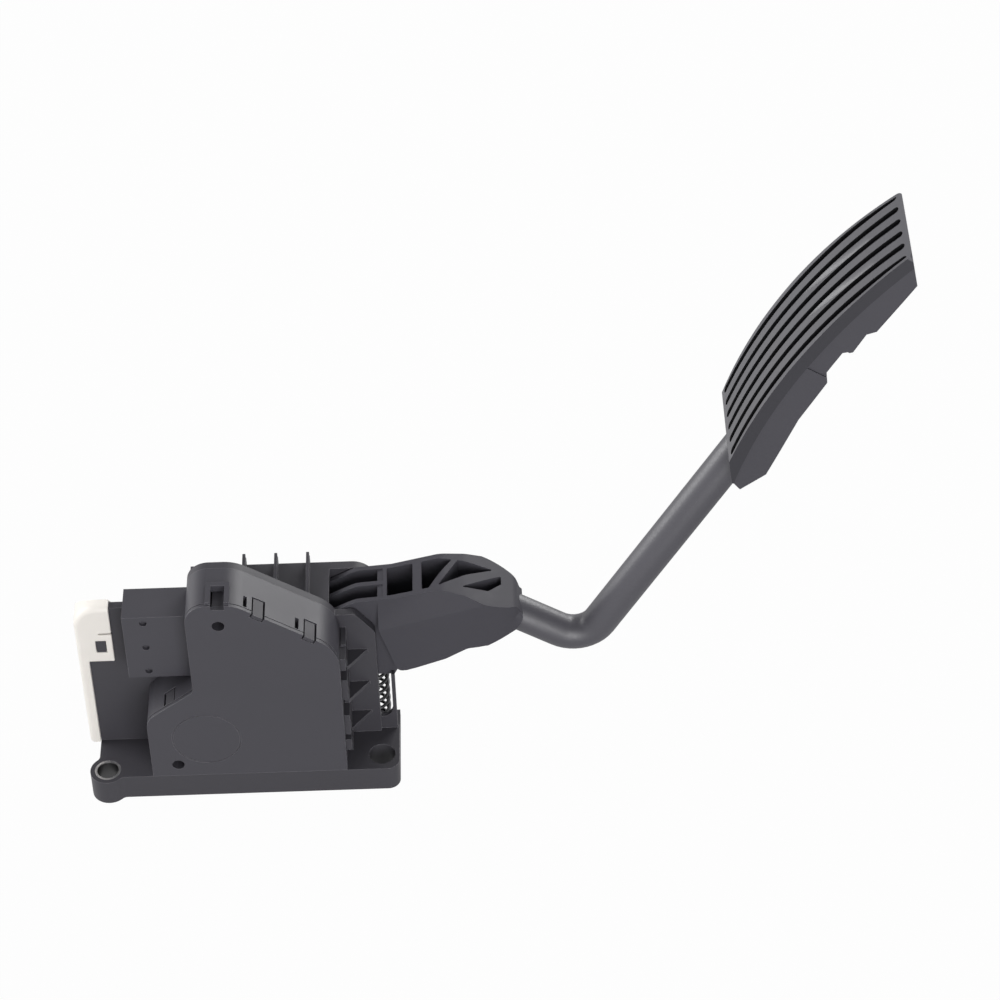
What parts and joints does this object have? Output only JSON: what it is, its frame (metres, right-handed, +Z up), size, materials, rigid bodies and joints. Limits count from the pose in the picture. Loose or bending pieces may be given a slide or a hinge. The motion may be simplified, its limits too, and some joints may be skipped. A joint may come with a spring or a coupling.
{
  "type": "accelerator pedal",
  "caption": "Hanging accelerator pedal module with a moulded sensor housing, a sprung lever, a bent steel tube and a ribbed foot pad.",
  "frame": {"origin": "axis of the front-left bolt hole, at the mounting face", "axes": "+X from the bolt end towards the foot pad, +Y across the housing from the sensor cover to the rear wall, +Z up from the mounting face along the bolts"},
  "size_m": [0.3255, 0.0704, 0.2573],
  "materials": {
    "housing_plastic": "fine moulded grain",
    "cover_plastic": "fine moulded grain",
    "lever_plastic": "fine moulded grain",
    "pad_plastic": "ribbed, satin",
    "cap_plastic": "pale, smooth",
    "tube_paint": "satin powder coat",
    "bare_steel": "turned",
    "spring_steel": "dark phosphated wire",
    "bush_bronze": "sintered",
    "magnet_ferrite": "ground",
    "board_laminate": "solder mask",
    "chip_plastic": "moulded",
    "terminal_metal": "tinned",
    "shoe_plastic": "bearing plastic",
    "stop_rubber": "moulded rubber"
  },
  "bodies": {
    "base": {"housing": "housing_plastic", "sensor_cover": "cover_plastic", "connector_housing": "cover_plastic", "terminals": "terminal_metal", "end_cap": "cap_plastic", "mounting_sleeves": "bare_steel", "front_pivot_bush": "bush_bronze", "rear_pivot_bush": "bush_bronze", "circuit_board": "board_laminate", "hall_sensors": "chip_plastic", "outer_return_spring": "spring_steel", "inner_return_spring": "spring_steel", "spring_seat": "lever_plastic", "friction_shoe": "shoe_plastic", "friction_spring": "spring_steel", "idle_stop_bumper": "stop_rubber"},
    "pedal": {"lever": "lever_plastic", "pivot_pin": "bare_steel", "pin_retaining_ring": "bare_steel", "magnet_carrier": "lever_plastic", "magnet": "magnet_ferrite", "pedal_tube": "tube_paint", "pedal_pad": "pad_plastic"}
  },
  "joints": [
    {"name": "pedal_press", "type": "hinge", "parent": "base", "child": "pedal", "pos_m": [0.042, 0.03125, 0.033], "axis": [0, 1, 0], "range_deg": [0, 15], "stiffness_Nm_per_rad": 12.7, "springref_deg": -13.52, "deforming": ["outer_return_spring", "inner_return_spring"]}
  ]
}
